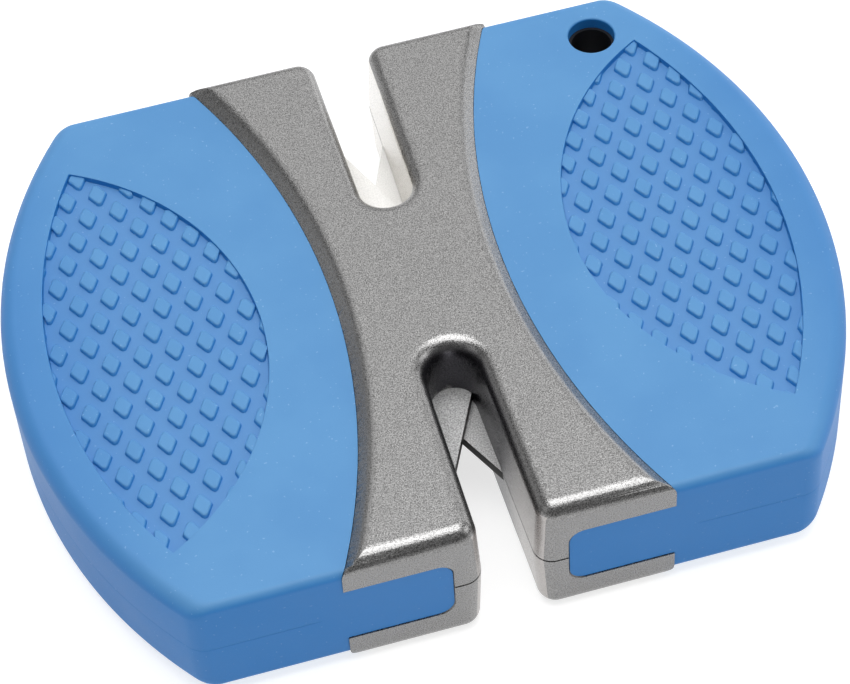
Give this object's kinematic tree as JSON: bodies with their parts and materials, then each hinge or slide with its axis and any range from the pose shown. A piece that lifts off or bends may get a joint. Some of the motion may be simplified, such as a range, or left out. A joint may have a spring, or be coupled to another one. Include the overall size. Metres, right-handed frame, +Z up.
{
  "type": "pull through knife sharpener",
  "caption": "Flat pocket pull through knife sharpener: hourglass cover with a carbide slot and a ceramic slot, textured rubber wings, lanyard hole.",
  "frame": {"origin": "centre of the bounding box at the resting underside", "axes": "+X to the right along the width, -Y toward the carbide slot's mouth, +Y toward the ceramic slot's mouth, +Z up"},
  "size_m": [0.0822, 0.0624, 0.0156],
  "materials": {
    "cover_grey": "pewter-grey metallic paint, satin with a fine grain, on moulded plastic",
    "grip_blue": "soft moulded rubber, matt blue",
    "core_black": "black moulded plastic",
    "carbide": "sintered carbide, pale grey and speckled",
    "ceramic_white": "fine white ceramic, unglazed",
    "screw_steel": "zinc-plated steel"
  },
  "bodies": {
    "root": {"upper_cover": "cover_grey", "lower_cover": "cover_grey", "left_core": "core_black", "right_core": "core_black", "left_grip": "grip_blue", "right_grip": "grip_blue", "left_carbide": "carbide", "right_carbide": "carbide", "left_stone": "ceramic_white", "right_stone": "ceramic_white", "case_screw_front_left": "screw_steel", "case_screw_front_right": "screw_steel", "case_screw_back_left": "screw_steel", "case_screw_back_right": "screw_steel"}
  },
  "joints": []
}
